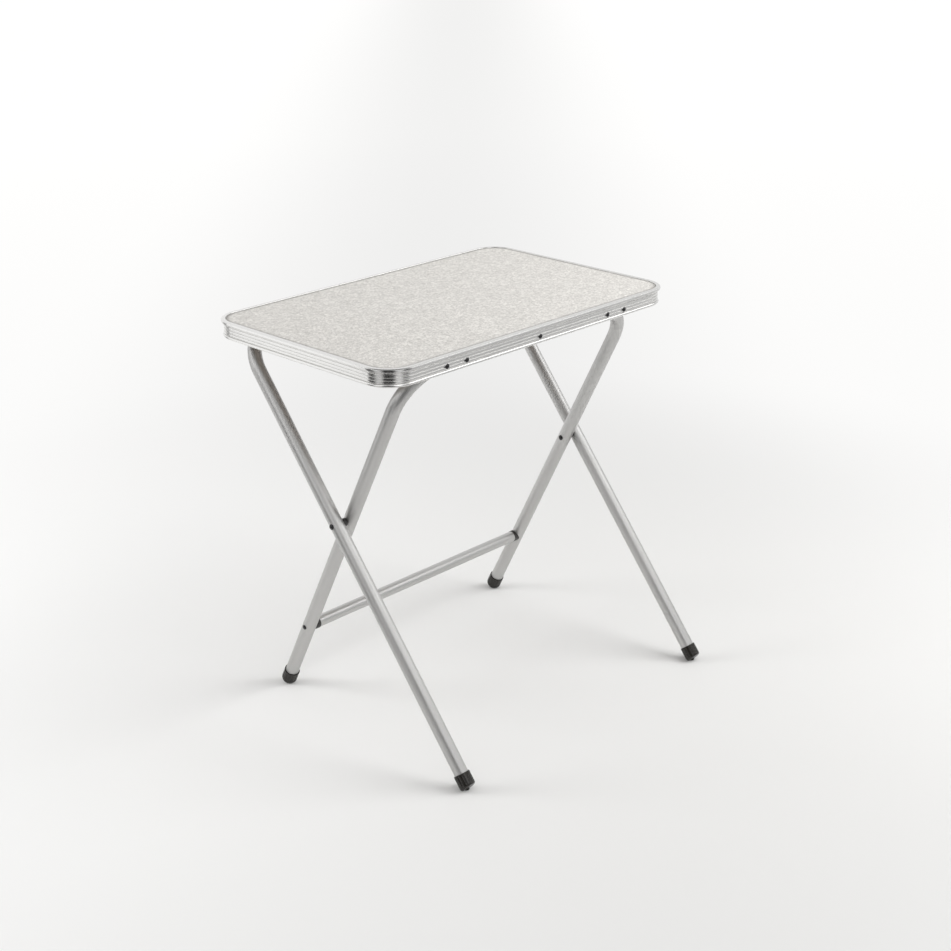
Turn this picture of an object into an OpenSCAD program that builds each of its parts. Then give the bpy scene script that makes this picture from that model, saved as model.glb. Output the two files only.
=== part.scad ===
// Folding side table: a framed laminate top on two crossed U-shaped tube frames.
// X runs along the long side, the fold axes lie along X, and the feet stand on Z = 0.

/* [Tabletop] */
// Length of the top over its edge strip
top_length = 630; // [600:1:700]
// Depth of the top over its edge strip
top_depth = 400; // [390:1:440]
// Height of the top of the edge strip above the floor
top_height = 632; // [590:1:680]
// Plan radius of the top's corners
corner_radius = 48; // [44:1:60]
// Thickness of the laminated board
board_thickness = 8; // [6:0.5:9]

/* [Edge strip] */
// Height of the strip
strip_height = 28; // [27:0.5:32]
// Width of the rounded lip seen from above
lip_width = 7.5; // [7:0.1:8.5]
// Radius of the lip's outer nose
nose_radius = 2.6; // [2:0.1:2.8]
// Thickness of the lip over the board
lip_thickness = 2.2; // [2:0.1:2.4]
// Drop from the top of the lip to the laminate
laminate_drop = 1.2; // [0.9:0.1:1.5]
// Inset of the wall's outer face from the nose
wall_inset = 5.2; // [4.8:0.1:5.4]
// Thickness of the wall
wall_thickness = 1.6; // [1.4:0.1:1.8]
// Radius of each long ridge on the wall
ridge_radius = 1.7; // [1.4:0.1:1.8]
// Spacing of the ridges
ridge_pitch = 4.8; // [4.4:0.1:5]
// Drop from the top of the lip to the first ridge
ridge_start = 10.6; // [10.4:0.1:11]
// Radius of the bead along the lower edge
bead_radius = 2.6; // [2.2:0.1:2.8]
// Inset of the bead from the nose
bead_inset = 2.2; // [1.6:0.1:2.6]
// Width of the open joint where the ends of the strip meet
seam_gap = 0.3; // [0.2:0.05:0.6]

/* [Frames] */
// Outside diameter of the frame tubes
tube_diameter = 22; // [20:0.5:22]
// Wall thickness of the frame tubes
tube_wall = 1.5; // [1.2:0.1:2]
// Radius of the frame bends at the tube's axis
bend_radius = 72; // [60:1:80]
// Distance from the middle of the top to each outer leg's axis
outer_leg_x = 275; // [270:0.5:280]
// Distance from the middle of the top to each inner leg's axis
inner_leg_x = 247.3; // [243:0.1:248]
// How far the outer feet stand in front of the middle of the top
outer_foot_reach = 312.7; // [290:0.1:330]
// How far the inner feet stand behind the middle of the top
inner_foot_reach = 138.5; // [125:0.1:160]
// Inset of the outer frame's top bar from the rear edge
outer_bar_inset = 24; // [23.5:0.1:26]
// Inset of the inner frame's top bar from the front edge
inner_bar_inset = 34; // [32:0.1:38]
// Drop from the top of the strip to the axes of both top bars
bar_drop = 25; // [25:0.1:28]

/* [Crossbar] */
// Outside diameter of the crossbar
crossbar_diameter = 19; // [16:0.5:20]
// Height of the crossbar's axis above the floor
crossbar_height = 126.6; // [90:0.1:160]
// Space between each inner leg and the end of the crossbar
crossbar_gap = 5.5; // [4:0.1:8]

/* [Pivots] */
// Diameter of the pivot rivets' shanks
pivot_diameter = 6; // [5:0.1:6]
// Diameter of the pivot rivets' heads
pivot_head_diameter = 9; // [8.5:0.1:11]
// Diameter of the spacers between the legs
spacer_diameter = 13; // [12:0.5:16]

/* [Brackets and rivets] */
// Distance from the middle of the top to the inner rivet of each pair
rivet_inner_x = 157; // [150:0.5:159]
// Distance from the middle of the top to the outer rivet of each pair
rivet_outer_x = 197; // [196:0.5:204]
// Diameter of the rivet heads on the strip
rivet_head_diameter = 8; // [7.2:0.1:8.4]
// Drop from the top of the strip to the rivets' axes
rivet_drop = 17.8; // [17.6:0.1:18]
// Thickness of the brackets' fixing plates
plate_thickness = 2.8; // [2.4:0.1:3]
// Width of the hinge bearing on the outer frame's bar
bearing_width = 30; // [24:1:32]

/* [Foot caps] */
// Outside diameter of the foot caps
cap_diameter = 25.4; // [25:0.1:26.4]
// Distance along the leg from the floor to the rim of the cap
cap_reach = 29.5; // [27:0.5:36]
// Height of the toe of the cap above its floor line, along the leg
cap_toe = 9.3; // [8.8:0.1:10]

/* [Hidden] */

// Clearances and small fixed sizes
fit = 0.05;             // running or seating clearance, on a radius or a face
catch_clearance = 0.3;  // radial clearance of the inner bar in its catches
side_gap = 0.3;         // free play beside the inner legs
crown_radius = 12;      // crown of the lip
flange_thickness = 1.6; // flange under the board and return at the bead
flange_reach = 13.5;    // how far the flange under the board reaches inwards
return_reach = 8.6;     // how far the return at the bead reaches inwards
laminate_gap = 0.25;    // dark line between lip and laminate
catch_wall = 4.5;       // wall round the inner bar in its catches
rivet_shank = 1.95;     // radius of the blind rivets' shanks
rivet_head_height = 1.9;
rivet_tail = 3.4;       // length of the formed tail behind a bracket
rivet_tail_radius = 2.9;
cap_floor = 12.5;       // where the tube ends inside the cap, along the leg
heel_start = 3;         // where the heel pad begins, across the leg
plug_top = 24;          // top of the plug inside the tube
clip_thickness = 2;

// Positions that follow from the sizes above
tube_radius = tube_diameter / 2;
bore_radius = tube_radius - tube_wall;
bar_height = top_height - bar_drop;
outer_bar_y = top_depth / 2 - outer_bar_inset;
inner_bar_y = inner_bar_inset - top_depth / 2;
outer_slope = (outer_bar_y + outer_foot_reach) / bar_height;
inner_slope = (inner_foot_reach - inner_bar_y) / bar_height;
outer_lean = atan(outer_slope);
inner_lean = atan(inner_slope);
pivot_height = (outer_foot_reach + inner_foot_reach) / (outer_slope + inner_slope);
outer_span = bar_height / cos(outer_lean);
inner_span = bar_height / cos(inner_lean);
outer_pivot = pivot_height / cos(outer_lean);
inner_pivot = pivot_height / cos(inner_lean);
crossbar_along = crossbar_height / cos(inner_lean);
crossbar_end = inner_leg_x - tube_radius - crossbar_gap;
crossbar_radius = crossbar_diameter / 2;
board_low = laminate_drop + board_thickness;
flange_low = board_low + flange_thickness;
wall_back = wall_inset + wall_thickness;
plate_back = wall_back + plate_thickness;
bead_drop = strip_height - bead_radius;
bead_middle = bead_inset + bead_radius;
ridge_face = wall_inset + 0.4 - ridge_radius;
cap_radius = cap_diameter / 2;
seam_y = 3.6;
// The origin is on the floor under the middle of the whole outline
front_extent = outer_foot_reach - cap_toe * sin(outer_lean) + cap_radius * cos(outer_lean);
middle_shift = (front_extent - top_depth / 2) / 2;

round_fn = 36;
small_fn = 14;

// ---- helpers ----

// Draws an outline of the Y and Z axes as a slab from x0 to x1
module slab(x0, x1) {
    translate([x0, 0, 0]) rotate([90, 0, 90]) linear_extrude(x1 - x0) children();
}

// A round bar along X
module bar_x(x0, x1, r, fn = round_fn) {
    translate([x0, 0, 0]) rotate([0, 90, 0]) cylinder(h = x1 - x0, r = r, $fn = fn);
}

// A flat plate with rounded corners
module rounded_plate(l, d, h, r) {
    union() {
        translate([-l / 2, -d / 2 + r, 0]) cube([l, d - 2 * r, h]);
        translate([-l / 2 + r, -d / 2, 0]) cube([l - 2 * r, d, h]);
        for (sx = [-1, 1], sy = [-1, 1])
            translate([sx * (l / 2 - r), sy * (d / 2 - r), 0]) cylinder(h = h, r = r, $fn = 48);
    }
}

// Moves a piece from the middle of the top to the origin of the whole outline
module placed() {
    translate([0, middle_shift, 0]) children();
}

// Outer frame's own axes: Z along the legs from the floor, Y towards their underside
module on_outer() {
    placed() translate([0, -outer_foot_reach, 0]) rotate([-outer_lean, 0, 0]) children();
}

// Inner frame's own axes, mirrored so that Y is again towards the underside
module on_inner() {
    placed() translate([0, inner_foot_reach, 0]) rotate([inner_lean, 0, 0]) mirror([0, 1, 0]) children();
}

// ---- tabletop ----

// Section of the strip: X outwards from the nose, Y up from the top of the lip
module strip_section() {
    // lip with its crown and nose
    intersection() {
        translate([-3.2, -crown_radius]) circle(r = crown_radius, $fn = 60);
        translate([-lip_width, -lip_thickness]) square([lip_width - 1.6, lip_thickness]);
    }
    translate([-nose_radius, -nose_radius]) circle(r = nose_radius, $fn = 22);
    // sloping underside of the lip
    polygon([
        [-wall_inset - 0.1, -1.5], [-nose_radius, -1.5],
        [-nose_radius, -2 * nose_radius], [-wall_inset, -7.4], [-wall_inset - 0.1, -7.4]
    ]);
    // wall
    translate([-wall_back, -bead_drop]) square([wall_thickness, bead_drop - 1.5]);
    // three ridges and the bead, flush with the wall's back
    intersection() {
        union() {
            for (i = [0:2])
                translate([-wall_inset - 0.4, -ridge_start - i * ridge_pitch]) circle(r = ridge_radius, $fn = 16);
            translate([-bead_middle, -bead_drop]) circle(r = bead_radius, $fn = 22);
        }
        translate([-wall_back, -strip_height]) square([wall_back, strip_height]);
    }
    // return at the bead
    translate([-return_reach, -strip_height]) square([return_reach - bead_middle, flange_thickness]);
    // flange under the board
    translate([-flange_reach, -flange_low]) square([flange_reach - wall_inset - 0.1, flange_thickness]);
}

// One straight length of strip on the side that faces X
module strip_run(half, length) {
    translate([half, 0, top_height]) rotate([90, 0, 0])
        linear_extrude(length, center = true) strip_section();
}

module edge_profile() {
    color([0.80, 0.81, 0.83]) placed() difference() {
        union() {
            for (a = [0, 180]) rotate([0, 0, a]) {
                strip_run(top_length / 2, top_depth - 2 * corner_radius);
                rotate([0, 0, 90]) strip_run(top_depth / 2, top_length - 2 * corner_radius);
            }
            for (sx = [0, 1], sy = [0, 1]) mirror([sx, 0, 0]) mirror([0, sy, 0])
                translate([top_length / 2 - corner_radius, top_depth / 2 - corner_radius, top_height])
                    rotate_extrude(angle = 90, $fn = 36) translate([corner_radius, 0]) strip_section();
        }
        // the butt joint of the strip's two ends
        translate([top_length / 2 - 2 * flange_reach, seam_y - seam_gap / 2, top_height - 2 * strip_height])
            cube([4 * flange_reach, seam_gap, 3 * strip_height]);
        // rivet holes along both long sides
        for (x = [-rivet_outer_x, -rivet_inner_x, 0, rivet_inner_x, rivet_outer_x])
            translate([x, 0, top_height - rivet_drop]) rotate([90, 0, 0])
                cylinder(h = 2 * top_depth, r = rivet_shank + fit, center = true, $fn = small_fn);
    }
}

module tabletop_board() {
    color([0.84, 0.83, 0.80]) placed() union() {
        edge = wall_back + 3 * fit;
        translate([0, 0, top_height - board_low])
            rounded_plate(top_length - 2 * edge, top_depth - 2 * edge,
                board_low - lip_thickness - fit, corner_radius - edge);
        face = lip_width + laminate_gap;
        translate([0, 0, top_height - board_low])
            rounded_plate(top_length - 2 * face, top_depth - 2 * face,
                board_thickness, corner_radius - face);
    }
}

// Flat bar that lies behind the butt joint and keeps the strip's ends in line
module profile_joiner() {
    color([0.7, 0.7, 0.71]) placed()
        translate([top_length / 2 - wall_back - clip_thickness, seam_y - 35,
            top_height - strip_height + flange_thickness + 0.4])
            cube([clip_thickness, 70, strip_height - flange_thickness - flange_low - 0.8]);
}

// ---- brackets under the top ----

// Fixing plate behind the wall of a long side; Y inwards from the edge, Z down from the top
module plate_outline() {
    translate([wall_back, -strip_height + flange_thickness + 0.2])
        square([plate_thickness, strip_height - flange_thickness - 0.3 - flange_low]);
}

module plate_holes() {
    for (x = [rivet_inner_x, rivet_outer_x])
        translate([x, 0, -rivet_drop]) rotate([-90, 0, 0])
            cylinder(h = plate_back + 1, r = rivet_shank + fit, $fn = small_fn);
}

// Bearing that holds the outer frame's bar, on the right; Y inwards from the rear edge
module hinge_bracket() {
    middle = (rivet_inner_x + rivet_outer_x) / 2;
    ring = outer_bar_inset - plate_back;
    difference() {
        union() {
            slab(rivet_inner_x - 9, rivet_outer_x + 9) plate_outline();
            slab(middle - bearing_width / 2, middle + bearing_width / 2) {
                translate([outer_bar_inset, -bar_drop]) circle(r = ring, $fn = 40);
                translate([wall_back + 0.5, -strip_height + flange_thickness + 0.2])
                    square([ring, strip_height - flange_thickness - 0.3 - flange_low]);
            }
        }
        translate([0, outer_bar_inset, -bar_drop])
            bar_x(0, top_length, tube_radius + fit, 40);
        plate_holes();
    }
}

// Open saddle that the inner frame's bar lies in, on the right; Y inwards from the front edge
module catch_bracket() {
    last = inner_leg_x - bend_radius;
    difference() {
        union() {
            slab(rivet_inner_x - 12, rivet_outer_x + 9) plate_outline();
            slab(rivet_inner_x - 12, last) {
                intersection() {
                    translate([inner_bar_inset, -bar_drop])
                        circle(r = tube_radius + catch_wall, $fn = 40);
                    translate([0, -2 * top_depth]) square([top_depth, 2 * top_depth - board_low - fit]);
                }
                translate([wall_back + 0.5, -strip_height + flange_thickness + 0.2])
                    square([inner_bar_inset - wall_back - tube_radius,
                        strip_height - flange_thickness - 0.3 - flange_low]);
            }
        }
        translate([0, inner_bar_inset, -bar_drop])
            bar_x(0, top_length, tube_radius + catch_clearance, 40);
        // open side, square to the outer legs, which is the way the bar leaves
        slab(0, top_length) translate([inner_bar_inset, -bar_drop]) rotate(-outer_lean)
            translate([0, -3 * tube_diameter]) square([6 * tube_diameter, 6 * tube_diameter]);
        // pocket for the tail of the inner rivet
        translate([rivet_inner_x, plate_back, -rivet_drop]) rotate([-90, 0, 0])
            cylinder(h = inner_bar_inset, r = rivet_tail_radius + 1, $fn = small_fn);
        plate_holes();
    }
}

module on_front() {
    placed() translate([0, -top_depth / 2, top_height]) children();
}

module on_rear() {
    placed() translate([0, top_depth / 2, top_height]) mirror([0, 1, 0]) children();
}

module hinge_bracket_left() { color([0.09, 0.09, 0.09]) on_rear() mirror([1, 0, 0]) hinge_bracket(); }
module hinge_bracket_right() { color([0.09, 0.09, 0.09]) on_rear() hinge_bracket(); }
module catch_bracket_left() { color([0.09, 0.09, 0.09]) on_front() mirror([1, 0, 0]) catch_bracket(); }
module catch_bracket_right() { color([0.09, 0.09, 0.09]) on_front() catch_bracket(); }

// Joggled strip that ties the board to the middle of a long side
module board_clip() {
    difference() {
        slab(-11, 11) {
            translate([wall_back, -strip_height + flange_thickness + 0.2])
                square([clip_thickness, strip_height - flange_thickness - 0.3 - flange_low]);
            translate([wall_back, -flange_low - 0.1 - clip_thickness])
                square([flange_reach + 2.4 - wall_back, clip_thickness]);
            translate([flange_reach + 0.4, -flange_low - 0.1 - clip_thickness])
                square([clip_thickness, clip_thickness + 0.1 + flange_thickness]);
            translate([flange_reach + 0.4, -board_low - clip_thickness])
                square([20, clip_thickness]);
        }
        translate([0, 0, -rivet_drop]) rotate([-90, 0, 0])
            cylinder(h = plate_back, r = rivet_shank + fit, $fn = small_fn);
        translate([0, flange_reach + 13, -board_low - 2 * clip_thickness])
            cylinder(h = 2 * clip_thickness, r = 1.8 + fit, $fn = small_fn);
    }
}

module board_clip_front() { color([0.7, 0.7, 0.71]) on_front() board_clip(); }
module board_clip_rear() { color([0.7, 0.7, 0.71]) on_rear() board_clip(); }

// A pan-head screw up into the board through each clip, with its thread left plain
module clip_screw() {
    translate([0, flange_reach + 13, -board_low - clip_thickness]) {
        mirror([0, 0, 1]) intersection() {
            cylinder(h = 2, r = 3.4, $fn = 18);
            translate([0, 0, -1.9]) sphere(r = 3.9, $fn = 18);
        }
        cylinder(h = clip_thickness, r = 1.8, $fn = small_fn);
    }
}

module clip_screws() {
    color([0.6, 0.6, 0.61]) union() {
        on_front() clip_screw();
        on_rear() clip_screw();
    }
}

// Blind rivet through the strip: dome outside, shank, formed tail behind the plate
module strip_rivet(x, back) {
    head = rivet_head_diameter / 2;
    dome = (head * head + rivet_head_height * rivet_head_height) / (2 * rivet_head_height);
    translate([x, ridge_face, -rivet_drop]) rotate([-90, 0, 0]) {
        intersection() {
            translate([0, 0, dome - rivet_head_height]) sphere(r = dome, $fn = 22);
            translate([0, 0, -2 * head]) cylinder(h = 2 * head, r = 2 * head, $fn = 22);
        }
        cylinder(h = back - ridge_face, r = rivet_shank, $fn = small_fn);
        translate([0, 0, back - ridge_face]) cylinder(h = rivet_tail, r = rivet_tail_radius, $fn = small_fn);
    }
}

module rivet_row() {
    for (x = [-rivet_outer_x, -rivet_inner_x, rivet_inner_x, rivet_outer_x]) strip_rivet(x, plate_back);
    strip_rivet(0, wall_back + clip_thickness);
}

module front_rivets() { color([0.05, 0.05, 0.05]) on_front() rivet_row(); }
module rear_rivets() { color([0.05, 0.05, 0.05]) on_rear() rivet_row(); }

// ---- tube frames ----

// Solid core of a U frame: two legs, two bends and the bar across the top
module frame_core(leg_x, span, from, r, fn) {
    for (s = [0, 1]) mirror([s, 0, 0]) {
        translate([leg_x, 0, from]) cylinder(h = span - bend_radius - from, r = r, $fn = fn);
        translate([leg_x - bend_radius, 0, span - bend_radius]) rotate([90, 0, 0])
            rotate_extrude(angle = 90, $fn = 40) translate([bend_radius, 0]) circle(r = r, $fn = fn);
    }
    translate([0, 0, span]) bar_x(bend_radius - leg_x, leg_x - bend_radius, r, fn);
}

module frame_tube(leg_x, span) {
    difference() {
        frame_core(leg_x, span, cap_floor, tube_radius, 28);
        frame_core(leg_x, span, cap_floor - 1, bore_radius, 16);
        children();
    }
}

// Hole across both legs of a frame
module cross_hole(leg_x, along, r) {
    translate([0, 0, along]) bar_x(-leg_x - tube_diameter, leg_x + tube_diameter, r, small_fn);
}

module outer_frame_tube() {
    color([0.72, 0.72, 0.73]) on_outer() frame_tube(outer_leg_x, outer_span)
        cross_hole(outer_leg_x, outer_pivot, pivot_diameter / 2 + fit);
}

module inner_frame_tube() {
    color([0.72, 0.72, 0.73]) on_inner() frame_tube(inner_leg_x, inner_span) {
        cross_hole(inner_leg_x, inner_pivot, pivot_diameter / 2 + fit);
        cross_hole(inner_leg_x, crossbar_along, rivet_shank + fit);
    }
}

// Foot cap on one leg: a fluted sleeve and plug with a heel pad cut to the floor
module foot_cap(leg_x, lean) {
    big = 3 * cap_diameter;
    translate([leg_x, 0, 0]) difference() {
        intersection() {
            translate([0, 0, -cap_reach]) cylinder(h = 2 * cap_reach, r = cap_radius, $fn = 30);
            // side outline: raised toe, step to the heel, and the floor line
            slab(-cap_diameter, cap_diameter) intersection() {
                polygon([
                    [-big, cap_reach], [-big, cap_toe], [-cap_radius, cap_toe],
                    [heel_start, cap_toe - 4.1], [heel_start, -big], [big, -big], [big, cap_reach]
                ]);
                polygon([[-big, -big * tan(lean)], [big, big * tan(lean)], [big, big], [-big, big]]);
            }
        }
        // pocket for the tube, round a central plug
        difference() {
            translate([0, 0, cap_floor - fit]) cylinder(h = cap_reach, r = tube_radius + fit, $fn = 24);
            cylinder(h = plug_top, r = bore_radius - fit, $fn = 16);
        }
        // long shallow flutes
        for (i = [0:9]) rotate([0, 0, 18 + 36 * i])
            translate([cap_radius + 0.7, 0, cap_floor - 1]) cylinder(h = cap_reach - cap_floor - 1, r = 1.3, $fn = 13);
    }
}

module outer_foot_left() { color([0.07, 0.06, 0.06]) on_outer() foot_cap(-outer_leg_x, outer_lean); }
module outer_foot_right() { color([0.07, 0.06, 0.06]) on_outer() foot_cap(outer_leg_x, outer_lean); }
module inner_foot_left() { color([0.07, 0.06, 0.06]) on_inner() foot_cap(-inner_leg_x, inner_lean); }
module inner_foot_right() { color([0.07, 0.06, 0.06]) on_inner() foot_cap(inner_leg_x, inner_lean); }

// ---- pivots ----

// Head with a domed crown, from Z = 0 upwards
module rivet_crown(r, h) {
    dome = (r * r + h * h) / (2 * h);
    intersection() {
        translate([0, 0, h - dome]) sphere(r = dome, $fn = 22);
        cylinder(h = 2 * h, r = 2 * r, $fn = 22);
    }
}

// Spacer between the legs on the right: shaped to the outer leg, flat towards the inner one
module pivot_spacer() {
    difference() {
        translate([0, 0, outer_pivot])
            bar_x(inner_leg_x + tube_radius + side_gap, outer_leg_x - tube_radius + 3, spacer_diameter / 2, 24);
        translate([outer_leg_x, 0, 0]) cylinder(h = outer_span, r = tube_radius + fit, $fn = 32);
        cross_hole(outer_leg_x, outer_pivot, pivot_diameter / 2 + fit);
    }
}

module pivot_spacer_left() { color([0.07, 0.07, 0.07]) on_outer() mirror([1, 0, 0]) pivot_spacer(); }
module pivot_spacer_right() { color([0.07, 0.07, 0.07]) on_outer() pivot_spacer(); }

// Rivet through both legs on the right, headed on the outside and the inside
module pivot_rivet() {
    head = pivot_head_diameter / 2;
    outside = outer_leg_x + tube_radius;
    inside = inner_leg_x - tube_radius;
    translate([0, 0, outer_pivot]) {
        bar_x(inside - 0.5, outside + 0.5, pivot_diameter / 2, 24);
        difference() {
            union() {
                bar_x(outside - 1, outside + 0.3, head, 22);
                translate([outside + 0.3, 0, 0]) rotate([0, 90, 0]) rivet_crown(head, 2.2);
            }
            translate([outer_leg_x, 0, -tube_diameter])
                cylinder(h = 2 * tube_diameter, r = tube_radius + fit, $fn = 32);
        }
        translate([inside - side_gap, 0, 0]) rotate([0, -90, 0]) rivet_crown(head, 2.2);
    }
}

module pivot_rivet_left() { color([0.05, 0.05, 0.05]) on_outer() mirror([1, 0, 0]) pivot_rivet(); }
module pivot_rivet_right() { color([0.05, 0.05, 0.05]) on_outer() pivot_rivet(); }

// ---- crossbar ----

module crossbar_tube() {
    color([0.74, 0.74, 0.75]) on_inner() translate([0, 0, crossbar_along]) difference() {
        bar_x(-crossbar_end, crossbar_end, crossbar_radius, 32);
        bar_x(-crossbar_end - 1, crossbar_end + 1, crossbar_radius - tube_wall, 24);
    }
}

// Saddle on the right: shaped to the leg, with a plug inside the crossbar
module crossbar_saddle() {
    difference() {
        translate([0, 0, crossbar_along]) union() {
            bar_x(crossbar_end, inner_leg_x - tube_radius / 2, crossbar_radius + 0.4, 32);
            bar_x(crossbar_end - 18, crossbar_end + 1, crossbar_radius - tube_wall - fit, 24);
        }
        translate([inner_leg_x, 0, 0]) cylinder(h = inner_span, r = tube_radius + fit, $fn = 32);
        translate([0, 0, crossbar_along]) bar_x(crossbar_end - 12, inner_leg_x, rivet_shank + fit, small_fn);
    }
}

// Rivet on the right: head outside the leg, shank through it into the saddle's plug
module crossbar_rivet() {
    outside = inner_leg_x + tube_radius;
    head = rivet_head_diameter / 2;
    translate([0, 0, crossbar_along]) {
        bar_x(crossbar_end - 12 + fit, outside + 0.5, rivet_shank, small_fn);
        difference() {
            union() {
                bar_x(outside - 1, outside + 0.3, head, 22);
                translate([outside + 0.3, 0, 0]) rotate([0, 90, 0]) rivet_crown(head, rivet_head_height);
            }
            translate([inner_leg_x, 0, -tube_diameter])
                cylinder(h = 2 * tube_diameter, r = tube_radius + fit, $fn = 32);
        }
    }
}

module crossbar_saddle_left() { color([0.07, 0.07, 0.07]) on_inner() mirror([1, 0, 0]) crossbar_saddle(); }
module crossbar_saddle_right() { color([0.07, 0.07, 0.07]) on_inner() crossbar_saddle(); }
module crossbar_rivet_left() { color([0.05, 0.05, 0.05]) on_inner() mirror([1, 0, 0]) crossbar_rivet(); }
module crossbar_rivet_right() { color([0.05, 0.05, 0.05]) on_inner() crossbar_rivet(); }

tabletop_board();
edge_profile();
profile_joiner();
hinge_bracket_left();
hinge_bracket_right();
catch_bracket_left();
catch_bracket_right();
board_clip_front();
board_clip_rear();
clip_screws();
front_rivets();
rear_rivets();
outer_frame_tube();
outer_foot_left();
outer_foot_right();
pivot_spacer_left();
pivot_spacer_right();
pivot_rivet_left();
pivot_rivet_right();
inner_frame_tube();
inner_foot_left();
inner_foot_right();
crossbar_tube();
crossbar_saddle_left();
crossbar_saddle_right();
crossbar_rivet_left();
crossbar_rivet_right();
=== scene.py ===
import math

import bmesh
import bpy
import numpy as np
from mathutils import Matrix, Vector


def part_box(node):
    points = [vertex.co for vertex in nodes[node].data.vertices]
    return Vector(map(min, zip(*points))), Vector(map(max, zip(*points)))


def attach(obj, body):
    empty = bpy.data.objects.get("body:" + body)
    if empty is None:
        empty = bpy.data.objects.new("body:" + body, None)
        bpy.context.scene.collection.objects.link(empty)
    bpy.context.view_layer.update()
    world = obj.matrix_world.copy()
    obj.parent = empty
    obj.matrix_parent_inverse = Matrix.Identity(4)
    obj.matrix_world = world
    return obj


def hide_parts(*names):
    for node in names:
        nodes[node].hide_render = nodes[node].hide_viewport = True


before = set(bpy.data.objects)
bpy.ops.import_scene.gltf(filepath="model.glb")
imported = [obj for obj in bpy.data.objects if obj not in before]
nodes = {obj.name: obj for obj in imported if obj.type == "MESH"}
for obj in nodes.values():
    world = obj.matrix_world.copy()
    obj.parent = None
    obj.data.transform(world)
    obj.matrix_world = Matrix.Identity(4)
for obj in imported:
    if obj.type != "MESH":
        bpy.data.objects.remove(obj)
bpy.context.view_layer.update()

# Laminated board
# The real board is chipboard with a pale mottled laminate pressed on its face and a plain
# balancing sheet below. Its edge lies in the strip's groove, so only the faces are seen.

# the strip's nose bounds the top: half its length and depth, its height, and its middle along y
low, high = 1000 * np.array(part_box("edge_profile"))
TOP_X, TOP_Y = np.round((high - low)[:2] / 2, 1)
TOP_Z = np.round(high[2], 1)
SHIFT_Y = np.round((low + high)[1] / 2, 2)
CORNER = 48.0
LIP_REACH = 7.8
# how far in from the lip the painted shade on the board reaches
SHADE_REACH = 7.5
LAMINATE_DARK = (0.475, 0.456, 0.427, 1.0)
LAMINATE_PALE = (0.865, 0.842, 0.803, 1.0)
# colour of the painted shade on the board along the lip
SHADE_BROWN = (0.24, 0.23, 0.215, 1.0)
FIBRE_DARK = (0.25, 0.215, 0.185, 1.0)
FIBRE_PALE = (0.36, 0.32, 0.285, 1.0)


def add_node(tree, kind, values=None, **settings):
    """A node of that kind; values are socket defaults by name or number."""
    made = tree.nodes.new("ShaderNode" + kind)
    for key, value in settings.items():
        setattr(made, key, value)
    for key, value in (values or {}).items():
        made.inputs[key].default_value = value
    return made


def wire(tree, *pairs):
    """Links each (output, input) pair."""
    for source, target in pairs:
        tree.links.new(source, target)


def maths(tree, operation, first, second=None, third=None, clamp=False):
    """One arithmetic step; each operand is a socket or a number."""
    made = add_node(tree, "Math", operation=operation, use_clamp=clamp)
    for number, operand in enumerate((first, second, third)):
        if operand is None:
            continue
        if isinstance(operand, (int, float)):
            made.inputs[number].default_value = operand
        else:
            tree.links.new(operand, made.inputs[number])
    return made.outputs[0]


def remap(tree, value, low, high, to_low, to_high, smooth=False):
    """Maps low..high to to_low..to_high, held at the ends."""
    made = add_node(
        tree, "MapRange", {1: low, 2: high, 3: to_low, 4: to_high}, clamp=True
    )
    if smooth:
        made.interpolation_type = "SMOOTHSTEP"
    tree.links.new(value, made.inputs[0])
    return made.outputs[0]


def mix_colour(tree, factor, first, second, blend="MIX"):
    """Mixes two colours; each operand is a socket or a value."""
    made = add_node(tree, "Mix", data_type="RGBA", blend_type=blend)
    for socket, operand in ((made.inputs[0], factor), (made.inputs[6], first), (made.inputs[7], second)):
        if isinstance(operand, (int, float, tuple)):
            socket.default_value = operand
        else:
            tree.links.new(operand, socket)
    return made.outputs[2]


def noise(tree, vector, scale, detail=3.0, rough=0.5):
    """Fractal noise, 0..1, at that many features per unit of the vector."""
    made = add_node(tree, "TexNoise", {"Scale": scale, "Detail": detail, "Roughness": rough})
    tree.links.new(vector, made.inputs["Vector"])
    return made.outputs["Fac"]


def surface(name, colour, rough, metallic=0.0, **extra):
    """A material with its Principled node; the values are set straight on the sockets."""
    made = bpy.data.materials.new(name)
    made.use_nodes = True
    shader = made.node_tree.nodes["Principled BSDF"]
    shader.inputs["Base Color"].default_value = (*colour, 1.0)
    shader.inputs["Roughness"].default_value = rough
    shader.inputs["Metallic"].default_value = metallic
    for key, value in extra.items():
        shader.inputs[key.replace("_", " ")].default_value = value
    return made, made.node_tree, shader


def place(tree):
    """Object coordinates in millimetres."""
    spot = add_node(tree, "TexCoord")
    scale = add_node(tree, "VectorMath", operation="SCALE")
    scale.inputs["Scale"].default_value = 1000.0
    wire(tree, (spot.outputs["Object"], scale.inputs[0]))
    return scale.outputs[0]


def bump(tree, shader, height, depth):
    """Raises the surface by the height times that depth in millimetres."""
    made = add_node(tree, "Bump", {"Strength": 1.0, "Distance": depth / 1000})
    wire(tree, (height, made.inputs["Height"]), (made.outputs[0], shader.inputs["Normal"]))


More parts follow.
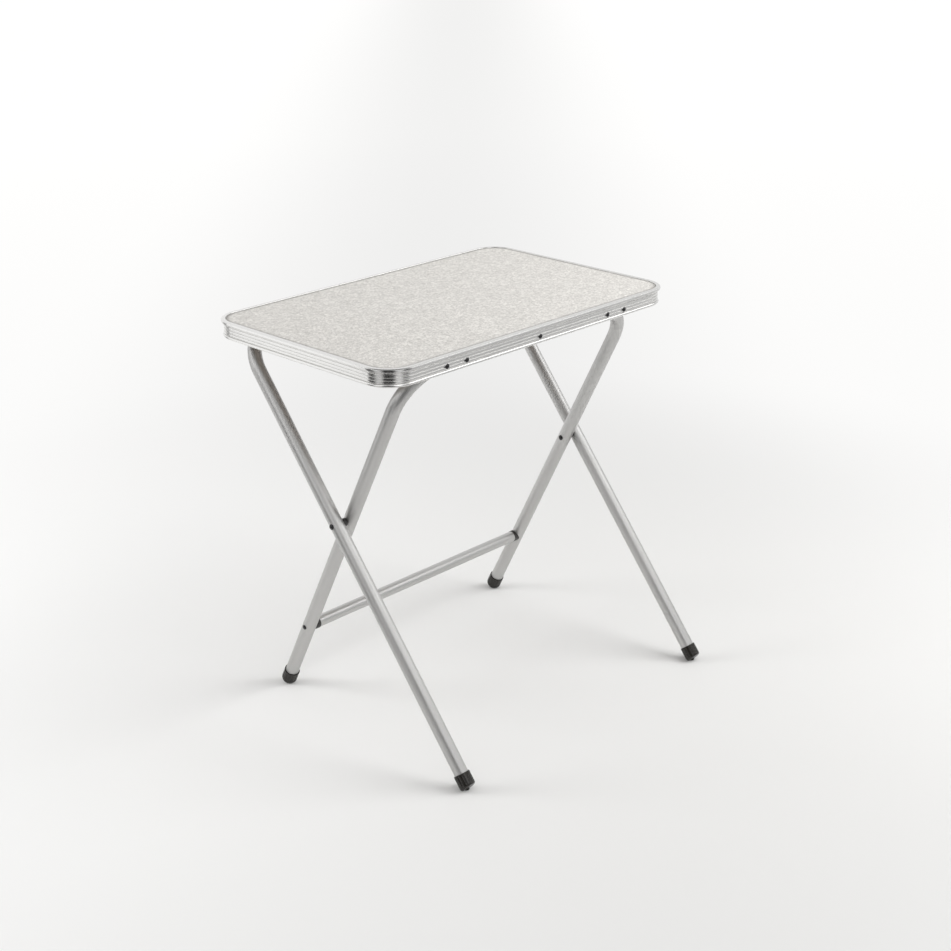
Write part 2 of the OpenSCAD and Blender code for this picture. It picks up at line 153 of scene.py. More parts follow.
laminate, tree, shader = surface("mottled laminate", (0.68, 0.665, 0.64), 0.42, IOR=1.5)
spot = place(tree)
flat = add_node(tree, "VectorMath", {1: (1.0, 1.0, 0.0)}, operation="MULTIPLY")
wire(tree, (spot, flat.inputs[0]))
warp = add_node(tree, "TexNoise", {"Scale": 0.16, "Detail": 3.0, "Roughness": 0.6})
wire(tree, (flat.outputs[0], warp.inputs["Vector"]))
push = add_node(tree, "VectorMath", {1: (9.0, 9.0, 0.0)}, operation="MULTIPLY_ADD")
wire(tree, (warp.outputs["Color"], push.inputs[0]), (flat.outputs[0], push.inputs[2]))
cells = add_node(tree, "TexVoronoi", {"Scale": 0.2, "Randomness": 1.0}, feature="DISTANCE_TO_EDGE")
wire(tree, (push.outputs[0], cells.inputs["Vector"]))
veins = remap(tree, cells.outputs["Distance"], 0.0, 0.2, 1.0, 0.0, smooth=True)
tint = add_node(tree, "TexVoronoi", {"Scale": 0.2, "Randomness": 1.0})
wire(tree, (push.outputs[0], tint.inputs["Vector"]))
split = add_node(tree, "SeparateColor")
wire(tree, (tint.outputs["Color"], split.inputs[0]))
cloud = noise(tree, flat.outputs[0], 0.35, 3.0, 0.6)
speck = noise(tree, flat.outputs[0], 1.1, 2.0, 0.5)
tone = maths(tree, "MULTIPLY_ADD", split.outputs[0], 0.38, 0.22)
tone = maths(tree, "MULTIPLY_ADD", cloud, 0.9, maths(tree, "SUBTRACT", tone, 0.35))
tone = maths(tree, "MULTIPLY_ADD", veins, -0.5, tone)
tone = maths(tree, "MULTIPLY_ADD", maths(tree, "SUBTRACT", speck, 0.5), 0.5, tone)
ramp = add_node(tree, "ValToRGB")
ramp.color_ramp.elements[0].color = LAMINATE_DARK
ramp.color_ramp.elements[1].color = LAMINATE_PALE
wire(tree, (maths(tree, "ADD", tone, 0.22, clamp=True), ramp.inputs[0]))
# painted shade where the board meets the strip's lip: how far a place is inside the rounded rectangle of
# the lip's edge
parts = add_node(tree, "SeparateXYZ")
wire(tree, (spot, parts.inputs[0]))
along_x = maths(tree, "SUBTRACT", maths(tree, "ABSOLUTE", parts.outputs[0]), TOP_X - CORNER)
off_y = maths(tree, "ABSOLUTE", maths(tree, "SUBTRACT", parts.outputs[1], SHIFT_Y))
along_y = maths(tree, "SUBTRACT", off_y, TOP_Y - CORNER)
corner = add_node(tree, "CombineXYZ")
wire(
    tree, (maths(tree, "MAXIMUM", along_x, 0.0), corner.inputs[0]),
    (maths(tree, "MAXIMUM", along_y, 0.0), corner.inputs[1]),
)
corner_reach = add_node(tree, "VectorMath", operation="LENGTH")
wire(tree, (corner.outputs[0], corner_reach.inputs[0]))
inside = maths(tree, "MINIMUM", maths(tree, "MAXIMUM", along_x, along_y), 0.0)
edge_reach = maths(tree, "ADD", corner_reach.outputs["Value"], inside)
depth = maths(tree, "SUBTRACT", CORNER - LIP_REACH, edge_reach)
ragged = maths(tree, "MULTIPLY_ADD", noise(tree, spot, 0.25, 3.0, 0.6), 1.2, -0.4)
# a dark brown band next to the lip, with a ragged inner edge, is painted shade
line = remap(tree, maths(tree, "SUBTRACT", depth, ragged), 0.2, SHADE_REACH, 0.78, 0.0, smooth=True)
face = mix_colour(tree, line, ramp.outputs[0], SHADE_BROWN)
# the sheet below is bare grey-brown fibreboard
fibres = noise(tree, spot, 0.8, 5.0, 0.7)
backing = add_node(tree, "ValToRGB")
backing.color_ramp.elements[0].position = 0.3
backing.color_ramp.elements[0].color = FIBRE_DARK
backing.color_ramp.elements[1].position = 0.7
backing.color_ramp.elements[1].color = FIBRE_PALE
facing = add_node(tree, "TexCoord")
side = add_node(tree, "SeparateXYZ")
wire(tree, (fibres, backing.inputs[0]), (facing.outputs["Normal"], side.inputs[0]))
below = maths(tree, "LESS_THAN", side.outputs[2], -0.5)
wire(tree, (mix_colour(tree, below, face, backing.outputs[0]), shader.inputs["Base Color"]))
smear = noise(tree, flat.outputs[0], 0.012, 4.0, 0.6)
wire(tree, (remap(tree, smear, 0.3, 0.7, 0.38, 0.48), shader.inputs["Roughness"]))
bump(tree, shader, noise(tree, flat.outputs[0], 0.9, 2.0, 0.6), 0.02)
board_mesh = nodes["tabletop_board"].data
board_mesh.materials.clear()
board_mesh.materials.append(laminate)

# Edge strip
# One aluminium extrusion, bright anodised, with a rolled lip, a cove, three ribs and a bead.
# It is bent round the board and its ends meet at the middle of the right short side.

SEAM_Y = 3.6
SEAM_GAP = 0.3
RIB_FACE = -3.9
RIB_TOP = -10.6
RIB_PITCH = 4.8
RIB_BOW = 8.45
STRIP_SILVER = (0.775, 0.77, 0.757)


def arc(x, y, radius, start, end, steps):
    """Points x + r cos t, y + r sin t for t from start to end in degrees; r may be (rx, ry)."""
    turn = np.radians(np.linspace(start, end, steps + 1))
    return np.array([x, y]) + np.array(radius) * np.stack([np.cos(turn), np.sin(turn)], 1)


def strip_profile():
    """Outline of the extrusion, clockwise: first column outwards, second column up."""
    ribs = []
    for middle in RIB_TOP - RIB_PITCH * np.arange(3):
        ribs += [
            np.array([[-5.2, middle + 1.62], [-4.9, middle + 1.5]]),
            arc(-4.28, middle + 1.19, 0.30, 84, 22, 3),
            arc(RIB_FACE - RIB_BOW, middle, RIB_BOW, 8.5, -8.5, 4),
            arc(-4.28, middle - 1.19, 0.30, -22, -84, 3),
            np.array([[-4.9, middle - 1.5], [-5.2, middle - 1.62]]),
        ]
    parts = [
        np.array([[-7.5, -2.2], [-7.5, -1.2]]),
        arc(-6.3, -1.2, 1.2, 172, 96, 7),
        arc(-6.3, -30.4, 30.4, 90, 85, 3),
        arc(-3.643, -5.14, 5.0, 84, 48, 9),
        arc(-0.377, -1.513, 0.12, 40, 20, 2),
        arc(-8.314, -3.492, 8.3, 14, -8, 7),
        arc(-0.887, -4.536, 0.8, -14, -60, 4),
        np.array([[-1.6, -5.6], [-3.6, -6.2], [-4.6, -6.9], [-5.08, -7.6], [-5.2, -8.2]]),
        *ribs,
        arc(-4.8, -25.4, 2.6, 98, -90, 18),
        np.array([[-8.3, -28.0], [-8.6, -27.7], [-8.6, -26.4], [-6.8, -26.4], [-6.8, -10.8]]),
        np.array([[-13.5, -10.8], [-13.5, -9.2], [-6.8, -9.2], [-6.8, -2.2]]),
    ]
    return np.concatenate(parts)


def strip_path():
    """Rounded rectangle from one side of the butt joint to the other: points and outward normals."""
    flat_x, flat_y = TOP_X - CORNER, TOP_Y - CORNER
    spots, turns = [], []

    def run(start, end, angle, steps):
        share = np.linspace(0, 1, steps + 1)[:, None]
        spots.append(np.array(start) * (1 - share) + np.array(end) * share)
        turns.append(np.full(steps + 1, angle))

    def bend(x, y, start, steps=26):
        spots.append(arc(x, y, CORNER, start, start + 90, steps)[1:-1])
        turns.append(np.linspace(start, start + 90, steps + 1)[1:-1])

    run((TOP_X, SEAM_Y + SEAM_GAP / 2), (TOP_X, flat_y), 0, 8)
    bend(flat_x, flat_y, 0)
    run((flat_x, TOP_Y), (-flat_x, TOP_Y), 90, 24)
    bend(-flat_x, flat_y, 90)
    run((-TOP_X, flat_y), (-TOP_X, -flat_y), 180, 16)
    bend(-flat_x, -flat_y, 180)
    run((-flat_x, -TOP_Y), (flat_x, -TOP_Y), 270, 24)
    bend(flat_x, -flat_y, 270)
    run((TOP_X, -flat_y), (TOP_X, SEAM_Y - SEAM_GAP / 2), 360, 8)
    angle = np.radians(np.concatenate(turns))
    return np.concatenate(spots), np.stack([np.cos(angle), np.sin(angle)], 1)


def reach_along(points):
    """Distance from the first point to each point of a polyline."""
    return np.concatenate([[0], np.cumsum(np.linalg.norm(np.diff(points, axis=0), axis=1))])


def corners_of(grid):
    """The four corners of each cell of a grid, in the order of its faces."""
    return np.stack([grid[:-1, :-1], grid[1:, :-1], grid[1:, 1:], grid[:-1, 1:]], 2)


def skin(rows, columns):
    """Quads of rows of points, each row closed round, as lists of vertex numbers."""
    number = np.arange(rows * columns).reshape(rows, columns)
    return corners_of(np.concatenate([number, number[:, :1]], 1)).reshape(-1, 4).tolist()


def solid(name, points, faces, material, uv=None, sharp=32):
    """A smooth-shaded mesh from points in millimetres, with normals turned outwards."""
    points = np.asarray(points, float).reshape(-1, 3) / 1000
    mesh = bpy.data.meshes.new(name)
    mesh.from_pydata(points.tolist(), [], faces)
    mesh.update()
    layer = mesh.uv_layers.new(name="UVMap")
    if uv is not None:
        spread = np.zeros((len(mesh.loops), 2), np.float32)
        cells = corners_of(uv).reshape(-1, 2)
        spread[:len(cells)] = cells / 1000
        layer.data.foreach_set("uv", spread.ravel())
    mesh.calc_loop_triangles()
    corners = np.zeros(len(mesh.loop_triangles) * 3, int)
    mesh.loop_triangles.foreach_get("vertices", corners)
    a, b, c = points[corners.reshape(-1, 3)].transpose(1, 0, 2)
    if np.einsum("ij,ij->i", a, np.cross(b, c)).sum() < 0:
        mesh.flip_normals()
    mesh.shade_smooth()
    mesh.set_sharp_from_angle(angle=math.radians(sharp))
    mesh.materials.append(material)
    made = bpy.data.objects.new(name, mesh)
    bpy.context.scene.collection.objects.link(made)
    return made


def stands_for(piece, body, slot, *replaced):
    """The piece moves with the body and hides those nodes; the slot is not used."""
    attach(piece, body)
    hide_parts(*replaced)


def node_group(name, inputs, outputs):
    """An empty node group; inputs and outputs map socket names to their kinds."""
    group = bpy.data.node_groups.new(name, "ShaderNodeTree")
    for side, sockets in (("INPUT", inputs), ("OUTPUT", outputs)):
        for label, kind in sockets.items():
            group.interface.new_socket(label, in_out=side, socket_type="NodeSocket" + kind)
    return group, group.nodes.new("NodeGroupInput").outputs, group.nodes.new("NodeGroupOutput").inputs


def use_group(tree, group, **inputs):
    """Places a group in a material; each input is a socket or a value."""
    made = add_node(tree, "Group")
    made.node_tree = group
    for label, operand in inputs.items():
        socket = made.inputs[label.replace("_", " ")]
        if isinstance(operand, bpy.types.NodeSocket):
            tree.links.new(operand, socket)
        else:
            socket.default_value = operand
    return made.outputs


# drawn or extruded metal: fine lines along the piece, broader dull patches, faint handling marks
drawn_metal, given, result = node_group(
    "drawn metal",
    {"Surface": "Vector", "Place": "Vector", "Stretch": "Vector", "Dull": "Float", "Lines": "Float"},
    {"Roughness": "Float", "Height": "Float", "Tone": "Float"},
)
stretch = add_node(drawn_metal, "VectorMath", operation="MULTIPLY")
wire(drawn_metal, (given["Surface"], stretch.inputs[0]), (given["Stretch"], stretch.inputs[1]))
drawn = noise(drawn_metal, stretch.outputs[0], 1.0, 4.0, 0.65)
patches = noise(drawn_metal, given["Place"], 0.025, 4.0, 0.55)
marks = remap(drawn_metal, noise(drawn_metal, given["Place"], 0.07, 5.0, 0.7), 0.56, 0.74, 0.0, 1.0)
rough = maths(drawn_metal, "MULTIPLY_ADD", drawn, given["Lines"], given["Dull"])
rough = maths(drawn_metal, "MULTIPLY_ADD", remap(drawn_metal, patches, 0.3, 0.7, -1.0, 1.0), 0.03, rough)
wire(
    drawn_metal, (maths(drawn_metal, "MULTIPLY_ADD", marks, 0.05, rough), result["Roughness"]),
    (drawn, result["Height"]), (remap(drawn_metal, patches, 0.3, 0.7, 0.97, 1.0), result["Tone"]),
)


def drawn_finish(name, colour, stretch, dull, lines, depth, **extra):
    """Metal in that colour with its lines along the piece's own UV map, which is in metres."""
    material, tree, shader = surface(name, colour, dull, 1.0, **extra)
    where = add_node(tree, "TexCoord")
    finish = use_group(
        tree, drawn_metal, Surface=where.outputs["UV"], Place=place(tree), Stretch=stretch,
        Dull=dull, Lines=lines,
    )
    tinted = mix_colour(tree, 1.0, (*colour, 1.0), finish["Tone"], blend="MULTIPLY")
    wire(tree, (finish["Roughness"], shader.inputs["Roughness"]), (tinted, shader.inputs["Base Color"]))
    bump(tree, shader, finish["Height"], depth)
    return material, tree, shader


outline = strip_profile()
spots, outward = strip_path()
rows, columns = len(spots), len(outline)
points = np.zeros((rows, columns, 3))
points[..., :2] = spots[:, None] + outline[None, :, :1] * outward[:, None]
points[..., 1] += SHIFT_Y
points[..., 2] = TOP_Z + outline[None, :, 1]
around = reach_along(np.concatenate([outline, outline[:1]]))
uv = np.stack(np.broadcast_arrays(around[None], reach_along(spots)[:, None]), -1)
last_row = list(range((rows - 1) * columns, rows * columns))
faces = skin(rows, columns) + [list(range(columns)), last_row[::-1]]

strip_metal, tree, shader = drawn_finish(
    "bright anodised strip", STRIP_SILVER, (2600.0, 14.0, 1.0), 0.19, 0.07, 0.0003, Anisotropic=0.5
)
lay = add_node(tree, "Tangent", direction_type="UV_MAP")
wire(tree, (lay.outputs[0], shader.inputs["Tangent"]))
strip = solid("edge_strip", points, faces, strip_metal, uv, 28)
stands_for(strip, "tabletop", "edge_strip", "edge_profile")

# Fittings under the top
# Moulded black hinge bearings and catches are riveted inside the long sides. Plated steel clips
# and a joiner at the butt joint hold the strip to the board. Their edges are slightly rounded.


def softened(node, body, slot, material, width, segments=2):
    """A copy of a node's mesh, merged, with its flat faces joined and its sharp edges rounded."""
    mesh = nodes[node].data.copy()
    build = bmesh.new()
    build.from_mesh(mesh)
    bmesh.ops.remove_doubles(build, verts=build.verts, dist=2e-5)
    bmesh.ops.dissolve_limit(
        build, angle_limit=math.radians(0.6), verts=build.verts, edges=build.edges, delimit=set()
    )
    build.to_mesh(mesh)
    build.free()
    mesh.shade_smooth()
    mesh.set_sharp_from_angle(angle=math.radians(38))
    mesh.materials.clear()
    mesh.materials.append(material)
    made = bpy.data.objects.new("soft_" + node, mesh)
    bpy.context.scene.collection.objects.link(made)
    rounding = made.modifiers.new("rounding", "BEVEL")
    rounding.width = width / 1000
    rounding.segments = segments
    rounding.limit_method = "ANGLE"
    rounding.angle_limit = math.radians(50)
    rounding.harden_normals = True
    stands_for(made, body, slot, node)


# moulded plastic: spark-eroded grain, flow patches and settled dust
moulded, given, result = node_group(
    "moulded grain",
    {"Place": "Vector", "Grain": "Float", "Dull": "Float"},
    {"Roughness": "Float", "Height": "Float", "Dust": "Float"},
)
grain = noise(moulded, given["Place"], 2.4, 3.0, 0.6)
flow = noise(moulded, given["Place"], 0.12, 3.0, 0.5)
settled = remap(moulded, noise(moulded, given["Place"], 0.35, 5.0, 0.75), 0.45, 0.8, 0.0, 1.0)
rough = maths(moulded, "MULTIPLY_ADD", grain, given["Grain"], given["Dull"])
rough = maths(moulded, "MULTIPLY_ADD", flow, 0.08, rough)
wire(
    moulded, (maths(moulded, "MULTIPLY_ADD", settled, 0.15, rough), result["Roughness"]),
    (grain, result["Height"]), (settled, result["Dust"]),
)


def moulded_plastic(name, colour, dusty, grain, dull, depth):
    """Plastic in that colour, paler by the dusty colour where dust has settled."""
    material, tree, shader = surface(name, colour, dull, IOR=1.5)
    finish = use_group(tree, moulded, Place=place(tree), Grain=grain, Dull=dull)
    dust = maths(tree, "MULTIPLY", finish["Dust"], 0.5)
    wire(
        tree, (finish["Roughness"], shader.inputs["Roughness"]),
        (mix_colour(tree, dust, (*colour, 1.0), (*dusty, 1.0)), shader.inputs["Base Color"]),
    )
    bump(tree, shader, finish["Height"], depth)
    return material


BRACKET_EDGE = 0.7
bracket_black = moulded_plastic(
    "bracket black", (0.020, 0.019, 0.019), (0.05, 0.048, 0.045), 0.14, 0.34, 0.03
)
for name in ("hinge_bracket_left", "hinge_bracket_right", "catch_bracket_left", "catch_bracket_right"):
    softened(name, "tabletop", "bracket", bracket_black, BRACKET_EDGE, 3)

PLATE_EDGE = 0.25
ZINC_BRIGHT = (0.62, 0.62, 0.60, 1.0)
ZINC_DULL = (0.48, 0.47, 0.44, 1.0)
plated, tree, shader = surface("zinc plate", ZINC_BRIGHT[:3], 0.34, 1.0)
spot = place(tree)
spangle = noise(tree, spot, 0.5, 4.0, 0.6)
dulled = remap(tree, noise(tree, spot, 0.09, 4.0, 0.6), 0.4, 0.65, 0.0, 1.0)
wire(
    tree, (remap(tree, spangle, 0.3, 0.7, 0.26, 0.44), shader.inputs["Roughness"]),
    (mix_colour(tree, dulled, ZINC_BRIGHT, ZINC_DULL), shader.inputs["Base Color"]),
)
bump(tree, shader, spangle, 0.01)
for name in ("profile_joiner", "board_clip_front", "board_clip_rear", "clip_screws"):
    softened(name, "tabletop", "plated_steel", plated, PLATE_EDGE)

# Strip rivets
# Five black lacquered blind rivets through each long side of the strip, with domed heads that
# sit on the ribs, a hollow where the mandrel broke off, and tails formed behind the plates.

HEAD = 4.0
HEAD_RISE = 1.9
SHANK = 1.95
RIVET_DROP = 17.8
RIVET_PLACES = (-197, -157, 0, 157, 197)
CATCH_BACK = 9.6
CLIP_BACK = 8.8
LACQUER = (0.011, 0.011, 0.012, 1.0)
LACQUER_WORN = (0.06, 0.058, 0.055, 1.0)
black_lacquer, tree, shader = surface("black lacquer", LACQUER[:3], 0.2, IOR=1.5)
spot = place(tree)
chipped = remap(tree, noise(tree, spot, 1.3, 5.0, 0.7), 0.66, 0.74, 0.0, 0.6)
wire(
    tree, (remap(tree, noise(tree, spot, 1.5, 2.0), 0.3, 0.7, 0.15, 0.28), shader.inputs["Roughness"]),
    (mix_colour(tree, chipped, LACQUER, LACQUER_WORN), shader.inputs["Base Color"]),
)


def crown(radius, height, hollow=0.0, depth=0.0):
    """Half outline of a domed head: (height above its seat, radius), centre first, down to the rim."""
    ball = (radius**2 + height**2) / (2 * height)
    out = np.linspace(max(hollow + 0.12, 0.05 * radius), radius * 0.985, 12)
    dome = np.stack([np.sqrt(ball**2 - out**2) - (ball - height), out], 1)
    start = [[height - depth, 0.0]]
    if hollow:
        start += [[height - depth, hollow - 0.2], [dome[0, 0] - 0.15, hollow]]
    return np.concatenate([start, dome, [[-0.05, radius], [-0.12, radius * 0.99]]])


def turned(half, seat, axis, columns=40):
    """The outline (along, radius) swept round the axis from the seat; both ends lie on the axis."""
    axis = np.array(axis, float)
    side = np.array([0.0, 0.0, 1.0]) if abs(axis[2]) < 0.5 else np.array([1.0, 0.0, 0.0])
    over = np.cross(axis, side)
    turn = np.linspace(0, 2 * np.pi, columns, endpoint=False)
    spoke = np.cos(turn)[:, None] * side + np.sin(turn)[:, None] * over
    ring = half[1:-1, None, :1] * axis + half[1:-1, None, 1:] * spoke
    ends = half[[0, -1], :1] * axis
    return closed(ring + np.array(seat), ends + np.array(seat))


def closed(rings, ends):
    """Rows of points closed round, shut at either end by a fan on a point: points and faces."""
    rows, columns = rings.shape[:2]
    first = np.arange(columns)
    after = np.roll(first, -1)
    last = (rows - 1) * columns
    start = np.full(columns, rows * columns)
    fans = [np.stack([first, after, start], 1), np.stack([last + after, last + first, start + 1], 1)]
    return np.concatenate([rings.reshape(-1, 3), ends]), skin(rows, columns) + np.concatenate(fans).tolist()


def joined(parts):
    """One list of points and one of faces from several (points, faces)."""
    points, faces, count = [], [], 0
    for spots, cells in parts:
        points.append(spots)
        faces += [[number + count for number in cell] for cell in cells]
        count += len(spots)
    return np.concatenate(points), faces


def blind_rivet(x, back, seat_y, inward):
    """Domed head on the ribs, shank to the back of the plate and the formed tail behind it."""
    grip = back + RIB_FACE
    tail = np.array([
        [0.0, SHANK], [-grip, SHANK], [-grip, 2.7], [-grip - 0.3, 2.9], [-grip - 2.6, 2.9],
        [-grip - 3.2, 2.5], [-grip - 3.4, 1.6], [-grip - 3.4, 0.0],
    ])
    half = np.concatenate([crown(HEAD, HEAD_RISE, 1.0, 0.6), tail])
    return turned(half, (x, seat_y, TOP_Z - RIVET_DROP), (0, -inward, 0))


for name, side in (("front", -1), ("rear", 1)):
    row = [
        blind_rivet(x, CATCH_BACK if x else CLIP_BACK, SHIFT_Y + side * (TOP_Y + RIB_FACE), -side)
        for x in RIVET_PLACES
    ]
    points, faces = joined(row)
    rivets = solid(name + "_strip_rivets", points, faces, black_lacquer, sharp=40)
    stands_for(rivets, "tabletop", "black_rivet", name + "_rivets")

# Tube frames
# Satin anodised aluminium tube, 22 mm across: each frame is one length bent to a U, with the
# bar under the top. The drawn surface has fine lines along the tube.

# from the middle of the top to each frame's feet and bar along y, and to the legs along x
OUTER_FOOT, INNER_FOOT = 312.7, 138.5
OUTER_BAR, INNER_BAR = 176.0, 166.0
OUTER_LEG, INNER_LEG = 275.0, 247.3
BAR_HEIGHT = TOP_Z - 25
OUTER_LEAN = math.atan((OUTER_FOOT + OUTER_BAR) / BAR_HEIGHT)
INNER_LEAN = math.atan((INNER_FOOT + INNER_BAR) / BAR_HEIGHT)
TUBE = 11.0
TUBE_BEND = 72.0
CAP_FLOOR = 12.5
SATIN_SILVER = (0.57, 0.566, 0.557)


def satin_tube(name):
    """Satin anodised drawn tube, its lines along the tube."""
    return drawn_finish(name, SATIN_SILVER, (30.0, 1400.0, 1.0), 0.40, 0.08, 0.0008)[0]


frame_metal = satin_tube("satin anodised frame")


def on_outer(points):
    """From the outer frame's own axes (x, towards the underside, along the leg) to the part's."""
    x, n, s = points[..., 0], points[..., 1], points[..., 2]
    sine, cosine = math.sin(OUTER_LEAN), math.cos(OUTER_LEAN)
    return np.stack([x, SHIFT_Y - OUTER_FOOT + n * cosine + s * sine, s * cosine - n * sine], -1)


def on_inner(points):
    """The same for the inner frame, which leans the other way."""
    x, n, s = points[..., 0], points[..., 1], points[..., 2]
    sine, cosine = math.sin(INNER_LEAN), math.cos(INNER_LEAN)
    return np.stack([x, SHIFT_Y + INNER_FOOT - n * cosine - s * sine, s * cosine - n * sine], -1)


def u_line(leg, span, start):
    """Up one leg, round a bend, along the bar, and down the other leg."""
    bend = TUBE_BEND
    rise = np.linspace(start, span - bend, 26)
    left = np.stack([np.full(26, -leg), rise], 1)
    first = arc(bend - leg, span - bend, bend, 180, 90, 24)[1:-1]
    bar = np.stack([np.linspace(bend - leg, leg - bend, 16), np.full(16, span)], 1)
    second = arc(leg - bend, span - bend, bend, 90, 0, 24)[1:-1]
    right = np.stack([np.full(26, leg), rise[::-1]], 1)
    return np.concatenate([left, first, bar, second, right])


def bent_tube(name, line, radius, placed, material, sides=60):
    """Rings round a line in the x-s plane: line + r cos t * side + r sin t * n."""
    step = np.gradient(line, axis=0)
    step /= np.linalg.norm(step, axis=1)[:, None]
    side = np.stack([step[:, 1], -step[:, 0]], 1)
    turn = np.linspace(0, 2 * np.pi, sides, endpoint=False)
    flat = line[:, None] + radius * np.cos(turn)[None, :, None] * side[:, None]
    depth = np.broadcast_to(radius * np.sin(turn), flat.shape[:2])
    rings = np.stack([flat[..., 0], depth, flat[..., 1]], -1)
    ends = np.stack([line[[0, -1], 0], np.zeros(2), line[[0, -1], 1]], -1)
    points, faces = closed(placed(rings), placed(ends))
    around = np.linspace(0, 2 * np.pi * radius, sides + 1)
    uv = np.stack(np.broadcast_arrays(reach_along(line)[:, None], around[None]), -1)
    return solid(name, points, faces, material, uv, 60)


outer_line = u_line(OUTER_LEG, BAR_HEIGHT / math.cos(OUTER_LEAN), CAP_FLOOR)
outer_tube = bent_tube("outer_tube", outer_line, TUBE, on_outer, frame_metal)
stands_for(outer_tube, "outer_frame", "frame_tube", "outer_frame_tube")
inner_line = u_line(INNER_LEG, BAR_HEIGHT / math.cos(INNER_LEAN), CAP_FLOOR)
inner_tube = bent_tube("inner_tube", inner_line, TUBE, on_inner, frame_metal)
stands_for(inner_tube, "inner_frame", "frame_tube", "inner_frame_tube")

# Foot caps
# Black plastic, pushed over the tube ends: a fluted sleeve with a raised toe and a round pad
# under the heel, cut to the floor at the angle at which the frame stands.

CAP = 12.7
CAP_REACH = 29.5
CAP_MOUTH = 11.5
TOE_RISE = 5.2
TOE_SLOPE = 0.261
HEEL_CLEAR = 0.6
PAD = 6.6
PAD_MIDDLE = 8.3
PAD_ROUND = 2.8
PAD_STEP = 0.4
FLUTE_TURN = 36
FLUTE = 1.5
FLUTE_FOOT = 11.5
cap_black = moulded_plastic(
    "foot cap black", (0.008, 0.0065, 0.0045), (0.042, 0.037, 0.026), 0.06, 0.15, 0.010
)


def cap_under(x, n, lean):
    """Height of the underside: the higher of the toe's slope and just over the floor, with a pad.

    The pad is a stub round (0, PAD_MIDDLE) that reaches the floor line, with a rounded rim.
    """
    floor_line = n * math.tan(lean) + 0.05
    toe = TOE_RISE - TOE_SLOPE * (n - 3)
    heel = floor_line + HEEL_CLEAR
    raised = 0.5 * (toe + heel + np.sqrt((toe - heel) ** 2 + 1.0))
    apart = np.hypot(x, n - PAD_MIDDLE)
    rim = np.clip(apart - PAD + PAD_ROUND, 0, PAD_ROUND)
    stub = np.minimum(floor_line + PAD_ROUND - np.sqrt(PAD_ROUND**2 - rim**2), raised)
    edge = np.clip((PAD + PAD_STEP - apart) / (2 * PAD_STEP), 0, 1)
    return raised + (stub - raised) * edge * edge * (3 - 2 * edge)


def foot_cap(name, leg, lean, placed):
    """Polar grid: across the underside, round its edge, up the flutes, over the rim and inside.

    A flute is a round groove along the sleeve, sunk where it meets the sleeve's circle.
    """
    columns = 180
    turn = np.linspace(0, 2 * np.pi, columns, endpoint=False)
    spoke = np.stack([np.cos(turn), np.sin(turn)])
    fillet = 3.4 + spoke[1]
    rings = []
    for share in np.linspace(0.08, 1, 20):
        reach = share * (CAP - fillet)
        rings.append((reach * spoke[0], reach * spoke[1], cap_under(*(reach * spoke), lean)))
    edge = cap_under(*((CAP - 0.6) * spoke), lean)
    inner_edge = rings[-1][2]
    for angle in np.radians([20, 40, 60, 75, 90]):
        reach = CAP - fillet + fillet * math.sin(angle)
        base = inner_edge + (edge - inner_edge) * math.sin(angle)
        rings.append((reach * spoke[0], reach * spoke[1], base + fillet * (1 - math.cos(angle))))
    low = rings[-1][2]
    apart = np.abs(np.degrees(turn) % FLUTE_TURN - FLUTE_TURN / 2)
    across = CAP * np.radians(apart)
    groove = np.clip(np.sqrt(np.clip(FLUTE**2 - across**2, 0, None)) - 0.65, 0, None)
    for share in np.array([0.04, 0.12, 0.25, 0.4, 0.55, 0.7, 0.82, 0.9, 0.95, 1.0]):
        height = low + (CAP_REACH - 1.0 - low) * share
        cut = np.clip((height - FLUTE_FOOT) / 1.2, 0, 1) * np.clip((CAP_REACH - 1.4 - height) / 0.8, 0, 1)
        reach = CAP - groove * cut
        rings.append((reach * spoke[0], reach * spoke[1], height))
    mouth = np.concatenate([
        arc(CAP - 0.8, CAP_REACH - 0.8, 0.8, 15, 90, 4), arc(CAP_MOUTH, CAP_REACH - 0.4, 0.4, 90, 180, 3),
        [[TUBE + 0.06, CAP_REACH - 1.0], [TUBE + 0.06, CAP_FLOOR]],
    ])
    for reach, height in mouth:
        rings.append((reach * spoke[0], reach * spoke[1], np.full(columns, height)))
    grid = np.stack([np.stack(ring, -1) for ring in rings])
    grid[..., 0] += leg
    ends = np.array([[leg, 0, cap_under(0.0, 0.0, lean)], [leg, 0, CAP_FLOOR]])
    return solid(name, *closed(placed(grid), placed(ends)), cap_black, sharp=50)


for side, sign in (("left", -1), ("right", 1)):
    cap = foot_cap("outer_cap_" + side, sign * OUTER_LEG, OUTER_LEAN, on_outer)
    stands_for(cap, "outer_frame", "foot_cap", "outer_foot_" + side)
    cap = foot_cap("inner_cap_" + side, sign * INNER_LEG, INNER_LEAN, on_inner)
    stands_for(cap, "inner_frame", "foot_cap", "inner_foot_" + side)

# Pivots between the frames
# A black lacquered rivet joins each pair of legs where they cross, with a plastic spacer between
# the tubes. It is fast in the outer leg, and the inner leg turns on it.

PIVOT_HEIGHT = (OUTER_FOOT + INNER_FOOT) / (math.tan(OUTER_LEAN) + math.tan(INNER_LEAN))
PIVOT_ALONG = PIVOT_HEIGHT / math.cos(OUTER_LEAN)
SPACER = 6.5
SPACER_START = INNER_LEG + TUBE + 0.3
PIVOT_HEAD = 4.5
PIVOT_RISE = 2.2
HEAD_GAP = 0.3
BORE = TUBE + 0.05
spacer_black = moulded_plastic(
    "moulded black", (0.020, 0.019, 0.018), (0.06, 0.057, 0.052), 0.12, 0.32, 0.02
)


